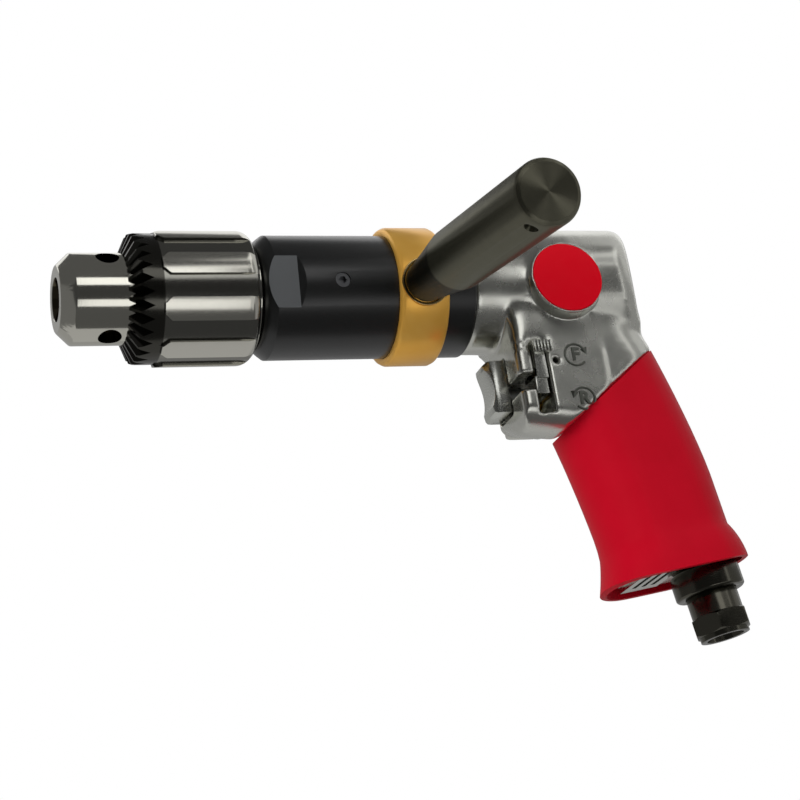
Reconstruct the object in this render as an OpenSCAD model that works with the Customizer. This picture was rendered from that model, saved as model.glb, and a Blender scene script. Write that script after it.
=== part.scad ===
// Reversible pistol-grip air drill with a keyed chuck and a swivelling side handle.
// Millimetres. X runs along the spindle from the mouth of the chuck to the back of the motor,
// Z points up and the side handle stands on the -Y side.

/* [Chuck] */
// Length of the chuck from its mouth to its rear face
chuck_len = 60.3; // [59:0.1:62]
// Radius of the plain turned nose
nose_r = 14.1; // [13.8:0.1:14.4]
// Radius of the flat ring at the mouth
nose_face_r = 10.3; // [9.5:0.1:11.5]
// Length of the cone behind the mouth
nose_cone_len = 4; // [3:0.5:6]
// Radius of the bore that takes a drill shank
chuck_bore_r = 6.65; // [6.6:0.05:6.7]
// Depth of that bore
chuck_bore_len = 34; // [32:0.5:35]
// Distance from the mouth to the front of the toothed sleeve
sleeve_front = 19.7; // [19.4:0.1:20]
// Radius over the bright lands of the sleeve
sleeve_r = 21; // [20.6:0.1:22]
// Depth of the dark flutes between the lands
flute_depth = 1; // [0.6:0.1:1.2]
// Number of lands round the sleeve
land_count = 9; // [8:1:10]
// Distance from the mouth to the front ends of the lands
land_front = 29; // [28.5:0.5:32]
// Number of bevel teeth that the chuck key drives
key_teeth = 30; // [28:1:32]
// Radius of the three pilot holes for the chuck key
key_hole_r = 3.6; // [3.3:0.1:3.8]
// Distance from the mouth to the centres of the pilot holes
key_hole_x = 14.8; // [14.4:0.1:15]
// Depth of the pilot holes
key_hole_depth = 5; // [4:0.5:6]
// Radius of a jaw
jaw_r = 3; // [2.9:0.05:3.1]
// Angle between a jaw and the spindle axis
jaw_slant = 15; // [14.5:0.25:15]
// Distance from the mouth to the tip of an open jaw
jaw_tip_x = 10; // [9.5:0.25:10.5]
// Distance that a jaw slides from open to closed
jaw_travel = 22.5; // [21:0.5:22.5]

/* [Gear housing] */
// Outer radius of the gear housing
case_r = 19.5; // [19.2:0.1:20]
// Length of the gear housing
case_len = 67.7; // [67.5:0.1:70]
// Distance of a wrench flat from the axis
flat_dist = 17.7; // [17.2:0.1:18.2]
// Angle by which the flats and the grub screw are turned down
case_turn = 8; // [0:1:15]
// Outer radius of a spindle bearing
spindle_bearing_r = 16; // [15.8:0.1:16.1]
// Inner radius of a spindle bearing
spindle_shaft_r = 7.5; // [7.2:0.1:7.8]
// Width of a spindle bearing
spindle_bearing_w = 9; // [8.5:0.25:9.25]
// Module of all the gears
gear_module = 1; // [0.98:0.01:1]

/* [Collar and side handle] */
// Distance from the gear housing's rear edge back to the collar's rear edge
collar_inset = 9.5; // [8:0.5:11]
// Width of the collar
collar_w = 16; // [15.5:0.25:18]
// Outer radius of the collar
collar_r = 22.05; // [21.75:0.05:23]
// Angle of the side handle below the horizontal
handle_drop = 11.6; // [0:0.2:30]
// Radius of the side handle
handle_r = 9.7; // [9.2:0.1:10.5]
// Radius of the side handle where it meets the collar
handle_root_r = 7.4; // [7:0.1:8]
// Distance from the spindle axis to the end of the side handle
handle_end = 120.5; // [110:1:130]
// Length of the conical inner part of the side handle
handle_cone_len = 29; // [26:0.5:36]
// Radius of the cross hole near the end of the side handle
cross_hole_r = 2.1; // [1.8:0.1:2.5]

/* [Motor housing] */
// Radius of the barrel where it meets the gear housing
barrel_front_r = 18.8; // [18.5:0.1:19.1]
// Radius of the barrel at its rear
barrel_rear_r = 21.5; // [21:0.1:22]
// Length of the barrel
barrel_len = 59.5; // [59:0.5:62]
// Radius of the bore that holds the motor
motor_bore_r = 15; // [14.9:0.05:15.1]
// Half width of the neck under the barrel
neck_half = 16.3; // [16:0.1:16.6]
// Radius of the round badge plate
badge_r = 11.6; // [11:0.1:12]

/* [Grip] */
// Lean of the grip from the vertical
grip_lean = 8.2; // [7.6:0.2:8.8]
// Distance from the barrel's front edge back to the air inlet, at the foot of the grip
grip_back = 68; // [67.5:0.5:69]
// Distance from the spindle axis down to the foot of the grip
grip_drop = 95.5; // [94:0.5:98]
// Half length of the grip's oval section
grip_half = 22.2; // [22:0.1:23]
// Half width of the grip's oval section
grip_half_w = 16.2; // [16:0.1:16.8]
// Thickness of the rubber skin
grip_skin = 2.2; // [1.8:0.1:2.4]
// Flare of the rubber at the foot
grip_flare = 3; // [2:0.25:4]

/* [Trigger and valve] */
// Half width of the trigger
trigger_half = 5.5; // [5:0.1:5.8]
// Travel of the trigger
trigger_travel = 4.4; // [3:0.2:4.4]
// Distance from the spindle axis down to the valve axis
valve_drop = 35; // [34.6:0.1:35.4]
// Outer radius of the reverse valve
valve_r = 7; // [6.8:0.1:7.1]
// Radius of the valve stem
stem_r = 2.4; // [2.2:0.1:2.5]

/* [Air inlet] */
// Outer radius of the inlet ring
inlet_ring_r = 11.15; // [10.5:0.05:11.4]
// Radius of the inlet bushing
inlet_r = 8.2; // [8:0.1:8.3]
// Width across the flats of the inlet hexagon
inlet_hex = 17; // [16.6:0.1:19]
// Tapping radius of the inlet thread
inlet_thread_r = 6; // [5.8:0.05:6.1]

/* [Fits] */
// Radial clearance of turning and sliding pieces
run_gap = 0.05; // [0.03:0.01:0.08]
// Clearance between pieces that pass each other freely
free_gap = 0.3; // [0.2:0.05:0.4]

/* [Hidden] */
$fn = 64;

// Chuck: the open jaws fix the room that the nut, the body and the sleeve have
key_turn = 49.4;
jaw_tip_r = 4.2;
nut_front = sleeve_front + 5.3;
nut_len = 7;
nut_r = 16.6;
jaw_len = jaw_travel + (nut_front + 1.2 - jaw_tip_x) / cos(jaw_slant);
jaw_tail_r = jaw_tip_r + jaw_len * sin(jaw_slant) + jaw_r * cos(jaw_slant);
body_rear_r = jaw_tail_r + 0.75;
sleeve_bore_r = body_rear_r + run_gap;
sleeve_base_r = sleeve_r - flute_depth;
sleeve_round = 5;
screw_head_r = 5;
screw_head_len = 3.5;
socket_x = chuck_bore_len + screw_head_len + 5;
socket_r = 6.3;
// Gear housing: a stack of bearings, gears and spacers from front to back
case_x = chuck_len + 0.5;
case_end = case_x + case_len;
crown_x = 16.8;
crown_r = sqrt(pow(case_r - 3, 2) + pow(crown_x, 2));
bearing_x = case_x + 3.2;
bearing_x2 = bearing_x + spindle_bearing_w + 2;
retainer_x = bearing_x2 + spindle_bearing_w;
carrier_x = retainer_x + 1.5 + 0.5;
carrier_w = 5;
low_x = carrier_x + carrier_w + 0.6;
carrier2_w = 4;
spigot_x = case_end - 9.5;
planet_w = (spigot_x - 3 - low_x - carrier2_w - 1.2) / 2;
carrier2_x = low_x + planet_w + 0.6;
high_x = carrier2_x + carrier2_w + 0.6;
ring_x = carrier_x + carrier_w + 0.1;
ring_r = spindle_bearing_r + 0.5;
spigot_r = ring_r + 0.4;
sun_teeth = 9;
planet_teeth = 9;
ring_teeth = 27;
gear_centre = gear_module * (sun_teeth + planet_teeth) / 2;
pressure = 25;
pin_r = 2.45;
// Collar and side handle
collar_end = case_end - collar_inset;
collar_x = collar_end - collar_w;
collar_mid = (collar_x + collar_end) / 2;
seat_dist = collar_r - 0.6;
stud_r = 4.9;
// Motor: spacer, plate, cylinder and plate lie in one bore
plate_x = case_end - 0.5;
plate_w = 8;
cyl_x = plate_x + plate_w;
cyl_len = 34;
plate2_x = cyl_x + cyl_len;
motor_end = plate2_x + plate_w + 0.1;
liner_r = motor_bore_r - run_gap;
rotor_r = 11.6;
shaft_r = 5.95;
rotor_bearing_r = 10.5;
rotor_bearing_w = 5;
cyl_bore_r = 13;
cyl_shift = 1.2;
dowel_r = 1;
dowel_dist = (cyl_bore_r - cyl_shift + liner_r) / 2;
barrel_end = case_end + barrel_len;
// Neck, trigger and valve
cheek_x = case_end + 10.5;
valve_z = -valve_drop;
trigger_back = cheek_x + 0.5;
trigger_round = 4;
lever_x = trigger_back + trigger_travel + 0.6;
lever_w = 4;
window_x = lever_x - 0.6;
window_w = 5.3;
belly_r = 8;
recess = 3;
tab_out = 2.6;
valve_x = lever_x + lever_w;
seat_x = valve_x + 19.9;
head_x = seat_x + 3.3;
head_w = 2.5;
spring_x = head_x + head_w + 0.3;
spring_len = 11;
chamber_end = spring_x + spring_len + 0.3;
keeper_x = valve_x + 3.5;
keeper_z = valve_z + valve_r - 1.3;
keeper_r = 1;
badge_x = case_end + 30;
badge_z = -3.5;
badge_y = -22.4;
// Grip
grip_x = case_end + grip_back;
grip_z = -grip_drop;
grip_mid = -10.3;
cut_x = case_end + 36;
cut_z = -42.5;
cut_angle = 37.3;
flare_h = 11;
inlet_end = -22.4;
inlet_hole_r = 4;

// Oval section of the grip: how far it flares and where its middle lies at a height over the foot
function flare(z) = z < flare_h ? 1 - pow(z / flare_h, 2) : 0;
function grip_c(z) = grip_mid - 0.0196 * pow(max(0, z - 28), 1.5);

// Gear teeth: half the angle of a tooth at a radius, and the outline of a whole wheel
function inv(a) = tan(a) * 180 / PI - a;
function base_r(z) = gear_module * z / 2 * cos(pressure);
function tooth_half(z, r, play) =
    90 / z + inv(pressure) - inv(acos(min(1, base_r(z) / r))) - play / (gear_module * z) * 180 / PI;
function polar(r, a) = [r * cos(a), r * sin(a)];
function tooth_radii(z, out, in) =
    let (p = gear_module * z / 2, low = p - in, b = max(low + 0.1, base_r(z)))
    [low, b, (b + p) / 2, p, p + out / 2, p + out];
function wheel(z, out, in, play) =
    let (rr = tooth_radii(z, out, in), n = len(rr) - 1)
    [for (i = [0:z - 1], k = [0:2 * n + 1])
        let (j = k <= n ? k : 2 * n + 1 - k, side = k <= n ? -1 : 1)
        polar(rr[j], i * 360 / z + side * tooth_half(z, rr[j], play))];

// Helpers: turned shapes, discs and tubes about the spindle axis
module turned(p) rotate([0, 90, 0]) rotate_extrude() polygon([for (q = p) [q[1], q[0]]]);
module disc(x, r, w) translate([x, 0, 0]) rotate([0, 90, 0]) cylinder(r = r, h = w);
module tube(x, ro, ri, w) difference() {
    disc(x, ro, w);
    disc(x - 1, ri, w + 2);
}
module gear(x, w, z, out, in, play)
    translate([x, 0, 0]) rotate([0, 90, 0]) linear_extrude(w) polygon(wheel(z, out, in, play));
module at_planet(i) rotate([120 * i, 0, 0]) translate([0, 0, -gear_centre]) children();
module at_valve() translate([0, 0, valve_z]) children();
module at_grip() translate([grip_x, 0, grip_z]) rotate([0, -grip_lean, 0]) children();
module at_handle() translate([collar_mid, 0, 0]) rotate([90 + handle_drop, 0, 0]) children();
module at_case_side() rotate([case_turn, 0, 0]) children();

// Ball bearing pieces: the races are grooves of the balls' own radius plus a little play
module race(x, w, mid, ball) translate([x + w / 2, 0, 0]) rotate([0, 90, 0])
    rotate_extrude() translate([mid, 0]) circle(r = ball + 0.03, $fn = 32);
module outer_race(x, w, ri, ro, ball) difference() {
    tube(x, ro, (ri + ro) / 2 + 0.5 * ball, w);
    race(x, w, (ri + ro) / 2, ball);
}
module inner_race(x, w, ri, ro, ball) difference() {
    tube(x, (ri + ro) / 2 - 0.5 * ball, ri, w);
    race(x, w, (ri + ro) / 2, ball);
}
module balls(x, w, ri, ro, ball, n) for (i = [0:n - 1])
    rotate([i * 360 / n, 0, 0]) translate([x + w / 2, 0, (ri + ro) / 2]) sphere(r = ball, $fn = 24);

// Chuck
module chuck_body() color("silver") difference() {
    turned([[0, 0], [0, nose_face_r], [nose_cone_len, nose_r], [nut_front - 0.15, nose_r],
        [nut_front - 0.15, jaw_line(nut_front - 0.15) - 0.15],
        [nut_front + nut_len + 0.15, jaw_line(nut_front + nut_len + 0.15) - 0.15],
        [nut_front + nut_len + 0.15, body_rear_r], [chuck_len - 0.8, body_rear_r],
        [chuck_len, body_rear_r - 1.3], [chuck_len, 0]]);
    disc(-1, chuck_bore_r, chuck_bore_len + 1);
    disc(chuck_bore_len - 1, screw_head_r + 0.2, screw_head_len + 1);
    disc(chuck_bore_len, 3.1, 20);
    disc(socket_x, socket_r, 30);
    for (i = [0:2]) rotate([key_turn + 60 + 120 * i, 0, 0]) jaw_rod(jaw_r + run_gap, -30, jaw_len + 0.4);
    for (i = [0:2]) rotate([key_turn + 120 * i, 0, 0]) translate([key_hole_x, 0, nose_r - key_hole_depth])
        cylinder(r = key_hole_r, h = key_hole_depth + 2);
}

// Radius of the outer line of the jaws at a distance from the mouth
function jaw_line(x) = jaw_tip_r + (x - jaw_tip_x) * tan(jaw_slant) + jaw_r / cos(jaw_slant);

// Round rod along the slanted line of one jaw
module jaw_rod(r, from, to) translate([jaw_tip_x, 0, jaw_tip_r]) rotate([0, 90 - jaw_slant, 0])
    translate([0, 0, from]) cylinder(r = r, h = to - from);

// A jaw is a rod with two gripping faces that meet in an edge just outside the bore
module chuck_jaw(i) color("dimgray") rotate([key_turn + 60 + 120 * i, 0, 0]) intersection() {
    jaw_rod(jaw_r, 0, jaw_len);
    translate([jaw_tip_x - 10, 0, chuck_bore_r + 0.05]) rotate([0, 90, 0])
        linear_extrude(80) polygon([[0, 0], [-20, 20 * tan(60)], [-20, -20 * tan(60)]]);
}

module chuck_jaw_1() chuck_jaw(0);
module chuck_jaw_2() chuck_jaw(1);
module chuck_jaw_3() chuck_jaw(2);

// The nut is split in two so that it can be laid in the groove of the body
module chuck_nut() color("gray") difference() {
    turned([[nut_front, jaw_line(nut_front) + 0.12], [nut_front, nut_r],
        [nut_front + nut_len, nut_r], [nut_front + nut_len, jaw_line(nut_front + nut_len) + 0.12]]);
    translate([nut_front - 1, -30, -0.15]) cube([nut_len + 2, 60, 0.3]);
}

module chuck_screw() color("dimgray") difference() {
    union() {
        disc(chuck_bore_len, screw_head_r, screw_head_len);
        disc(chuck_bore_len + screw_head_len, 3, 14);
    }
    translate([chuck_bore_len - 1, 0, 0]) rotate([0, 90, 0]) cylinder(r = 2.9, h = 3, $fn = 6);
}

// Outline of the sleeve with a rounded rear edge
function sleeve_outline(r, front) = concat(
    [[front, r]],
    [for (a = [90:-9:36]) [chuck_len - 5.3 + sleeve_round * cos(a), r - sleeve_round + sleeve_round * sin(a)]]);

module chuck_sleeve() color("silver") difference() {
    turned(concat([[sleeve_front, 10], [sleeve_front, nose_r + 0.3], [sleeve_front + 2.5, sleeve_base_r - 0.2],
        [sleeve_front + 3.5, sleeve_base_r + 0.1], [land_front, sleeve_base_r + 0.1]],
        sleeve_outline(sleeve_r, land_front + 0.3), [[chuck_len - 2, sleeve_bore_r - 1]], [[chuck_len - 2, 10]]));
    disc(sleeve_front - 1, nose_r + run_gap, 20);
    disc(nut_front, nut_r, 20);
    disc(nut_front + nut_len, sleeve_bore_r, 60);
    for (i = [0:land_count - 1]) rotate([2.8 + (i + 0.5) * 360 / land_count, 0, 0]) flute();
    for (i = [0:key_teeth - 1]) rotate([i * 360 / key_teeth, 0, 0]) translate([sleeve_front + 2.3, 0, nose_r + 0.4])
        rotate([0, 38.3, 0]) translate([0, 0, -3]) linear_extrude(13)
            polygon([[0, 0], [-8, 8 * tan(30)], [-8, -8 * tan(30)]]);
}

// One dark flute between two lands, wider at the front where the corners of the lands are eased
module flute() difference() {
    half = sleeve_r * sin(90 / land_count);
    translate([0, 0, 10]) linear_extrude(20) polygon([[land_front - 0.5, -half - 1.8], [land_front + 0.6, -half - 1.8],
        [land_front + 2.4, -half], [land_front + 50, -half], [land_front + 50, half], [land_front + 2.4, half],
        [land_front + 0.6, half + 1.8], [land_front - 0.5, half + 1.8]]);
    disc(land_front - 5, sleeve_base_r, 80);
}

// Gear housing and what lies in it
module gear_housing() color("#202224") difference() {
    turned([[case_x, 0], [case_x, case_r], [case_end - 0.4, case_r], [case_end, case_r - 0.4], [case_end, 0]]);
    difference() {
        disc(case_x - 1, case_r + 1, 5);
        translate([case_x + crown_x, 0, 0]) sphere(r = crown_r);
    }
    disc(case_x - 1, spindle_shaft_r + 2, 10);
    disc(bearing_x, spindle_bearing_r, 100);
    disc(ring_x, ring_r, 100);
    disc(spigot_x, spigot_r + run_gap, 100);
    at_case_side() for (s = [-1, 1]) translate([case_x + 1.2, s > 0 ? flat_dist : -flat_dist - 10, -30])
        cube([9.4, 10, 60]);
    at_case_side() translate([retainer_x + 1, 0, 0]) rotate([90, 0, 0]) cylinder(r = 2.4, h = 40);
}

// Grub screw with a hexagon socket
module gear_housing_screw() color("#303234") at_case_side() translate([retainer_x + 1, 0, 0]) rotate([90, 0, 0])
    difference() {
        translate([0, 0, spindle_bearing_r + 0.2]) cylinder(r = 2.4 - run_gap, h = case_r - spindle_bearing_r - 0.7);
        translate([0, 0, case_r - 2]) cylinder(r = 1.25, h = 10, $fn = 6);
    }

module ring_gear() color("gray") translate([ring_x, 0, 0]) rotate([0, 90, 0]) linear_extrude(spigot_x - ring_x)
    difference() {
        circle(r = ring_r - run_gap);
        polygon(wheel(ring_teeth, 1, 0.8, -0.12));
    }

module bearing_spacer() color("gray")
    tube(bearing_x + spindle_bearing_w, spindle_bearing_r - run_gap, spindle_bearing_r - 2.5, 2);

module bearing_retainer() color("dimgray")
    difference() {
        tube(retainer_x, spindle_bearing_r - run_gap, spindle_bearing_r - 2.8, 1.5);
        at_case_side() translate([retainer_x + 1, 0, 0]) rotate([90, 0, 0]) cylinder(r = 2.4, h = 40);
    }

module spindle_bearing_outer_rings() color("lightgray") for (x = [bearing_x, bearing_x2])
    outer_race(x, spindle_bearing_w, spindle_shaft_r, spindle_bearing_r - run_gap, 2.4);

module spindle_bearing_inner_rings() color("lightgray") for (x = [bearing_x, bearing_x2])
    inner_race(x, spindle_bearing_w, spindle_shaft_r, spindle_bearing_r - run_gap, 2.4);

module spindle_bearing_balls() color("white") for (x = [bearing_x, bearing_x2])
    balls(x, spindle_bearing_w, spindle_shaft_r, spindle_bearing_r - run_gap, 2.4, 9);

// The spindle carries the chuck in front and the low planets behind
module spindle() color("silver") difference() {
    union() {
        disc(socket_x + 0.2, socket_r - run_gap, chuck_len - socket_x - 0.2);
        disc(chuck_len, spindle_shaft_r + 1.5, bearing_x - chuck_len);
        disc(bearing_x, spindle_shaft_r - run_gap, carrier_x - bearing_x);
        disc(carrier_x, 14, carrier_w);
    }
    disc(socket_x - 1, 3.05, 12);
    for (i = [0:2]) at_planet(i) disc(carrier_x + 1, pin_r + run_gap, 20);
}

module planet_pins_low() color("lightgray") for (i = [0:2])
    at_planet(i) disc(carrier_x + 1, pin_r, carrier2_x - 0.3 - carrier_x - 1);

module planet(i, x) difference() {
    rotate([120 * i, 0, 0]) translate([0, 0, -gear_centre]) gear(x, planet_w, planet_teeth, 0.8, 1, 0.15);
    at_planet(i) disc(x - 1, pin_r + run_gap, planet_w + 2);
}

module planet_low_1() color("goldenrod") planet(0, low_x);
module planet_low_2() color("goldenrod") planet(1, low_x);
module planet_low_3() color("goldenrod") planet(2, low_x);
module planet_high_1() color("orange") planet(0, high_x);
module planet_high_2() color("orange") planet(1, high_x);
module planet_high_3() color("orange") planet(2, high_x);

// First carrier: a disc with pins behind and the second sun pinion in front
module first_carrier() color("silver") difference() {
    union() {
        disc(carrier2_x, 12.2, carrier2_w);
        gear(low_x - 0.2, carrier2_x - low_x + 0.2, sun_teeth, 0.8, 1, 0.15);
    }
    for (i = [0:2]) at_planet(i) disc(carrier2_x + 1, pin_r + run_gap, 20);
}

module planet_pins_high() color("lightgray") for (i = [0:2])
    at_planet(i) disc(carrier2_x + 1, pin_r, high_x + planet_w + 0.3 - carrier2_x - 1);

// Clamp collar that swivels on the gear housing, with a flat seat for the handle
module clamp_collar() color("#c79a3a") difference() {
    turned([[collar_x, 10], [collar_x, collar_r - 1.4], [collar_x + 0.4, collar_r - 0.5], [collar_x + 1.4, collar_r],
        [collar_end - 1.4, collar_r], [collar_end - 0.4, collar_r - 0.5], [collar_end, collar_r - 1.4],
        [collar_end, 10]]);
    disc(collar_x - 1, case_r + run_gap, collar_w + 2);
    at_handle() translate([0, 0, seat_dist]) cylinder(r = collar_w / 2 - 0.1, h = 10);
    at_handle() cylinder(r = stud_r + 0.1, h = 60);
}

module side_handle() color("#55565a") at_handle() difference() {
    rotate_extrude() polygon([[0, seat_dist + 0.05], [handle_root_r, seat_dist + 0.05],
        [handle_r, seat_dist + handle_cone_len], [handle_r, handle_end - 1.5], [handle_r - 0.45, handle_end - 0.45],
        [handle_r - 1.5, handle_end], [0, handle_end]]);
    cylinder(r = stud_r + run_gap, h = seat_dist + 14);
    translate([0, 0, handle_end - 5]) rotate([0, 0, -115]) rotate([0, 90, 0])
        cylinder(r = cross_hole_r, h = 40, center = true);
}

module handle_stud() color("silver") at_handle()
    translate([0, 0, case_r + 0.25]) cylinder(r = stud_r, h = seat_dist + 13.5 - case_r - 0.25);

// Motor
module motor_spacer() color("gray") tube(spigot_x, liner_r, 12, plate_x - spigot_x);

module front_end_plate() color("lightgray") difference() {
    disc(plate_x, liner_r, plate_w);
    disc(plate_x - 1, rotor_bearing_r, rotor_bearing_w + 1);
    disc(plate_x - 1, shaft_r + 0.5, plate_w + 2);
    translate([plate_x + 2, 0, dowel_dist]) rotate([0, 90, 0]) cylinder(r = dowel_r + run_gap, h = 20);
}

module rear_end_plate() color("lightgray") difference() {
    disc(plate2_x, liner_r, plate_w);
    disc(plate2_x + plate_w - rotor_bearing_w, rotor_bearing_r, 20);
    disc(plate2_x - 1, shaft_r + 0.5, plate_w + 2);
    translate([plate2_x - 1, 0, dowel_dist]) rotate([0, 90, 0]) cylinder(r = dowel_r + run_gap, h = plate_w - 1);
}

module rotor_cylinder() color("darkgray") difference() {
    disc(cyl_x, liner_r, cyl_len);
    translate([0, 0, -cyl_shift]) disc(cyl_x - 1, cyl_bore_r, cyl_len + 2);
    translate([cyl_x - 1, 0, dowel_dist]) rotate([0, 90, 0]) cylinder(r = dowel_r + run_gap, h = cyl_len + 2);
    for (x = [0.3, 0.5, 0.7], s = [-1, 1]) translate([cyl_x + x * cyl_len, 0, 0]) rotate([90 - 90 * s + 35 * s, 0, 0])
        cylinder(r = 1.6, h = 30);
}

module cylinder_dowel_pin() color("silver") translate([plate_x + 2.5, 0, dowel_dist]) rotate([0, 90, 0])
    cylinder(r = dowel_r, h = plate2_x + plate_w - 4 - plate_x - 2.5);

module rotor_bearing_outer_rings() color("lightgray")
    for (x = [plate_x, plate2_x + plate_w - rotor_bearing_w])
        outer_race(x, rotor_bearing_w, shaft_r + run_gap, rotor_bearing_r - run_gap, 1.3);

module rotor_bearing_inner_rings() color("lightgray")
    for (x = [plate_x, plate2_x + plate_w - rotor_bearing_w])
        inner_race(x, rotor_bearing_w, shaft_r + run_gap, rotor_bearing_r - run_gap, 1.3);

module rotor_bearing_balls() color("white") for (x = [plate_x, plate2_x + plate_w - rotor_bearing_w])
    balls(x, rotor_bearing_w, shaft_r + run_gap, rotor_bearing_r - run_gap, 1.3, 11);

// The rotor has its pinion cut on the front end of the shaft and five vane slots
module rotor() color("silver") difference() {
    union() {
        gear(high_x - 0.2, planet_w + 1, sun_teeth, 0.8, 1, 0.15);
        disc(high_x + planet_w + 0.6, shaft_r - 0.5, plate_x - high_x - planet_w - 0.6);
        disc(plate_x, shaft_r, plate2_x + plate_w - plate_x);
        disc(cyl_x + 0.2, rotor_r, cyl_len - 0.4);
    }
    for (i = [0:4]) rotate([i * 72, 0, 0]) translate([cyl_x - 1, -1.05, shaft_r + 0.3]) cube([cyl_len + 2, 2.1, 20]);
}

module rotor_vanes() color("saddlebrown") for (i = [0:4]) rotate([i * 72, 0, 0])
    translate([cyl_x + 0.3, -1, shaft_r + 0.4]) cube([cyl_len - 0.6, 2, rotor_r - shaft_r - 0.6]);

// Slice of the grip at a height over its foot, set in from the rubber's outside
module grip_slice(z, inset, spread) {
    half = grip_half + spread * grip_flare * flare(z) - inset;
    wide = grip_half_w + spread * 0.5 * grip_flare * flare(z) - inset;
    for (s = [-1, 1]) translate([grip_c(z) + s * (half - wide), 0, z]) cylinder(r = wide, h = 0.4, $fn = 40);
}

module grip_loft(stations, inset, spread) for (i = [0:len(stations) - 2]) hull() {
    grip_slice(stations[i], inset, spread);
    grip_slice(stations[i + 1], inset, spread);
}

// Room over the slanted upper edge of the rubber
module over_cut(gap) translate([cut_x, 0, cut_z]) rotate([0, -cut_angle, 0])
    translate([-100, -60, gap]) cube([200, 120, 120]);

module grip_core(gap) at_grip() grip_loft([1, 28, 56, 88], grip_skin - gap, 0);

// Red rubber sleeve drawn over the grip
module grip_sleeve() color("#b5061f") difference() {
    at_grip() grip_loft([0, 4, 7.5, flare_h, 28, 52, 76, 96], 0, 1);
    over_cut(0);
    grip_core(run_gap);
    at_grip() translate([0, 0, -1]) grip_foot_room();
}

// Room that the rubber leaves free under the foot of the core
module grip_foot_room() for (s = [-1, 1])
    translate([grip_mid + s * (grip_half - grip_half_w), 0, 0])
        cylinder(r = grip_half_w - grip_skin + run_gap, h = 3);

// Side view of the neck in front of the grip, from the barrel down to the block under the trigger
function neck_side() = [[cheek_x, -8], [cheek_x, valve_z - 11.6], [cheek_x + 0.9, valve_z - 13.7],
    [cheek_x + 2.6, valve_z - 15.4], [cheek_x + 14, valve_z - 16.9], [cheek_x + 26, valve_z - 18.4],
    [cheek_x + 30, valve_z], [cheek_x + 30, -8]];

// Rounded belly of the neck, which runs into the front of the grip
module belly() translate([cheek_x + 14, 0, valve_z - 16.4]) rotate([0, 7, 0]) rotate([90, 0, 90])
    translate([0, 0, -40]) linear_extrude(80) union() {
        translate([-neck_half - 1, belly_r]) square([2 * neck_half + 2, 80]);
        translate([-neck_half + belly_r - 0.3, 0]) square([2 * (neck_half - belly_r + 0.3), 80]);
        for (s = [-1, 1]) translate([s * (neck_half - belly_r + 0.3), belly_r]) circle(r = belly_r);
    }

module neck_block() intersection() {
    rotate([90, 0, 0]) translate([0, 0, -neck_half]) linear_extrude(2 * neck_half) polygon(neck_side());
    union() {
        translate([cheek_x + 2, -neck_half, -80]) cube([40, 2 * neck_half, 80]);
        translate([cheek_x, -neck_half + 2, -80]) cube([40, 2 * neck_half - 4, 80]);
        for (s = [-1, 1]) translate([cheek_x + 2, s * (neck_half - 2), -80]) cylinder(r = 2, h = 80);
    }
    belly();
}

// Outline of the barrel: a smooth swell from the front radius to the rear radius
function barrel_outline() = concat(
    [[case_end, 0], [case_end, barrel_front_r - 0.5], [case_end + 0.5, barrel_front_r]],
    [for (t = [0:0.125:1]) [case_end + 3 + t * 36, barrel_front_r
        + (barrel_rear_r - barrel_front_r) * (1 - cos(180 * t)) / 2]],
    [for (a = [90:-15:0]) [barrel_end - 4 + 4 * cos(a), barrel_rear_r - 4 + 4 * sin(a)]],
    [[barrel_end, 0]]);

// Polished casting: barrel, neck, block under the trigger and the core of the grip in one piece
module motor_housing() color("#d3d5d8") difference() {
    union() {
        turned(barrel_outline());
        disc(spigot_x, spigot_r, case_end - spigot_x + 1);
        intersection() {
            union() {
                neck_block();
                at_grip() grip_loft([40, 70, 98], 0.3, 0);
            }
            over_cut(run_gap);
        }
        grip_core(0);
        at_grip() translate([0, 0, -0.1]) cylinder(r = inlet_r + 1.2, h = 6);
        translate([badge_x, 0, badge_z]) rotate([90, 0, 0]) cylinder(r = badge_r + 0.7, h = -badge_y);
    }
    disc(spigot_x - 1, motor_bore_r, motor_end - spigot_x + 1);
    translate([badge_x, badge_y + 1, badge_z]) rotate([90, 0, 0]) cylinder(r = badge_r + run_gap, h = 20);
    trigger_room();
    lever_room();
    at_valve() disc(lever_x - 0.3, valve_r + run_gap, chamber_end - lever_x + 0.3);
    at_valve() translate([valve_x + 9, 0, 0]) cylinder(r = 2.5, h = valve_drop - motor_bore_r + 2);
    translate([keeper_x, 0, keeper_z]) rotate([90, 0, 0]) cylinder(r = keeper_r + run_gap, h = 60, center = true);
    at_grip() cylinder(r = inlet_hole_r, h = 59);
    at_grip() translate([0, 0, -1]) cylinder(r = inlet_r + run_gap, h = 13.2);
    at_grip() for (s = [-1, 1]) translate([-19, s * 10, 8]) cylinder(r = 2.2, h = 79);
    at_grip() translate([-24, -10.5, 0]) cube([11, 21, 20]);
    at_grip() translate([-25, -11, -2]) cube([13.4, 22, 4.2]);
}

// Slot between the cheeks for the trigger, and the gap between the left cheeks
module trigger_room() {
    translate([cheek_x - 5, -trigger_half - free_gap, valve_z - 8])
        cube([window_x + 5.3 - cheek_x, 2 * (trigger_half + free_gap), 19]);
    translate([cheek_x - 5, -40, valve_z - 3.9]) cube([window_x + 5.3 - cheek_x, 40, 5.4]);
}

// Round room for the hub of the reverse lever, the window on the left that its arm moves in, and the shallow
// recess over the window where the arm lies flush with the flank
module lever_room() {
    at_valve() disc(window_x, valve_r + 0.4, lever_w + 0.9);
    translate([window_x, -40, valve_z - 11.6]) cube([window_w, 38, 15.8]);
    translate([window_x, -40, valve_z]) cube([window_w, 40 - neck_half + recess, 12.6]);
}

module badge_disc() color("#b01020") translate([badge_x, badge_y + 0.98, badge_z]) rotate([90, 0, 0])
    cylinder(r = badge_r, h = 1.1);

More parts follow.
